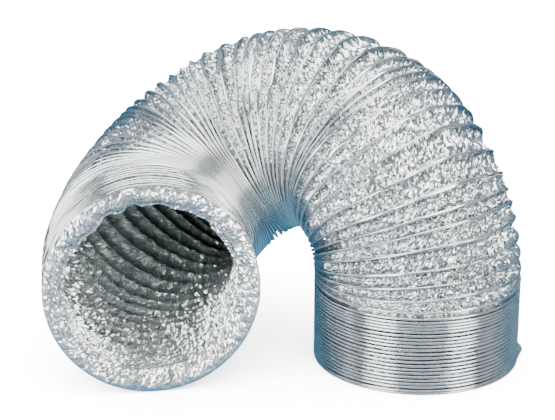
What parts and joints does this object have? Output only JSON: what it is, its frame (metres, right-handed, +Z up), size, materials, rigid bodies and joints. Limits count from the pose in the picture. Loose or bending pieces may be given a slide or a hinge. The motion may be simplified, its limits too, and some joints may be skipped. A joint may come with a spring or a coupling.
{
  "type": "flexible foil ventilation duct",
  "caption": "Flexible two-ply foil air duct with a spring-wire helix, standing on a packed stack of turns, arched over and lying on its open mouth.",
  "frame": {"origin": "middle of the duct's footprint, on the floor", "axes": "+Z up; the standing end is on the +X side and the open mouth faces -Y (turned 8 degrees towards +X)"},
  "size_m": [0.3588, 0.2464, 0.2378],
  "materials": {
    "outer_foil": "bright crumpled foil",
    "inner_foil": "crumpled foil, duller than outside",
    "wire": "drawn spring wire"
  },
  "bodies": {
    "base_collar": {"outer_foil_base_collar": "outer_foil", "wire_base_collar": "wire", "inner_foil_base_collar": "inner_foil", "hem_base": "outer_foil"},
    "stack_lower": {"outer_foil_stack_lower": "outer_foil", "wire_stack_lower": "wire", "inner_foil_stack_lower": "inner_foil"},
    "stack_upper": {"outer_foil_stack_upper": "outer_foil", "wire_stack_upper": "wire", "inner_foil_stack_upper": "inner_foil"},
    "arch_1": {"outer_foil_arch_1": "outer_foil", "wire_arch_1": "wire", "inner_foil_arch_1": "inner_foil"},
    "arch_2": {"outer_foil_arch_2": "outer_foil", "wire_arch_2": "wire", "inner_foil_arch_2": "inner_foil"},
    "arch_3": {"outer_foil_arch_3": "outer_foil", "wire_arch_3": "wire", "inner_foil_arch_3": "inner_foil"},
    "arch_4": {"outer_foil_arch_4": "outer_foil", "wire_arch_4": "wire", "inner_foil_arch_4": "inner_foil"},
    "arch_5": {"outer_foil_arch_5": "outer_foil", "wire_arch_5": "wire", "inner_foil_arch_5": "inner_foil"},
    "arch_6": {"outer_foil_arch_6": "outer_foil", "wire_arch_6": "wire", "inner_foil_arch_6": "inner_foil"},
    "arch_7": {"outer_foil_arch_7": "outer_foil", "wire_arch_7": "wire", "inner_foil_arch_7": "inner_foil"},
    "arch_8": {"outer_foil_arch_8": "outer_foil", "wire_arch_8": "wire", "inner_foil_arch_8": "inner_foil"},
    "arch_9": {"outer_foil_arch_9": "outer_foil", "wire_arch_9": "wire", "inner_foil_arch_9": "inner_foil"},
    "mouth": {"outer_foil_mouth": "outer_foil", "wire_mouth": "wire", "inner_foil_mouth": "inner_foil", "hem_mouth": "outer_foil"}
  },
  "joints": [
    {"name": "stack_lower_pull", "type": "slide", "parent": "base_collar", "child": "stack_lower", "axis": [0, 0, 1], "range_m": [0, 0.21]},
    {"name": "stack_upper_pull", "type": "slide", "parent": "stack_lower", "child": "stack_upper", "axis": [0, 0, 1], "range_m": [0, 0.33]},
    {"name": "bend_1", "type": "hinge", "parent": "stack_upper", "child": "arch_1", "pos_m": [0.15247, -0.1015, 0.06472], "axis": [0.766, 0.6428, 0], "range_deg": [0, 12.5]},
    {"name": "bend_2", "type": "hinge", "parent": "arch_1", "child": "arch_2", "pos_m": [0.13673, -0.08274, 0.15304], "axis": [0.766, 0.6428, 0], "range_deg": [0, 12.5]},
    {"name": "bend_3", "type": "hinge", "parent": "arch_2", "child": "arch_3", "pos_m": [0.1286, 0.00979, 0.19807], "axis": [0.3667, 0.7182, -0.5914], "range_deg": [0, 12.5]},
    {"name": "bend_4", "type": "hinge", "parent": "arch_3", "child": "arch_4", "pos_m": [0.07651, 0.0556, 0.2214], "axis": [0.3667, 0.7182, -0.5914], "range_deg": [0, 12.5]},
    {"name": "bend_5", "type": "hinge", "parent": "arch_4", "child": "arch_5", "pos_m": [0.01088, 0.08796, 0.22], "axis": [0.3667, 0.7182, -0.5914], "range_deg": [0, 12.5]},
    {"name": "bend_6", "type": "hinge", "parent": "arch_5", "child": "arch_6", "pos_m": [-0.03799, 0.1222, 0.16364], "axis": [0.4886, 0.2708, -0.8294], "range_deg": [0, 12.5]},
    {"name": "bend_7", "type": "hinge", "parent": "arch_6", "child": "arch_7", "pos_m": [-0.10221, 0.10719, 0.12091], "axis": [0.4886, 0.2708, -0.8294], "range_deg": [0, 12.5]},
    {"name": "bend_8", "type": "hinge", "parent": "arch_7", "child": "arch_8", "pos_m": [-0.13603, 0.06474, 0.06087], "axis": [0.6774, 0.0952, -0.7294], "range_deg": [0, 12.5]},
    {"name": "bend_9", "type": "hinge", "parent": "arch_8", "child": "arch_9", "pos_m": [-0.15717, 0.00419, 0.03333], "axis": [0.6774, 0.0952, -0.7294], "range_deg": [0, 12.5]},
    {"name": "mouth_pull", "type": "slide", "parent": "arch_9", "child": "mouth", "axis": [0.1392, -0.9903, 0], "range_m": [0, 0.24]}
  ]
}
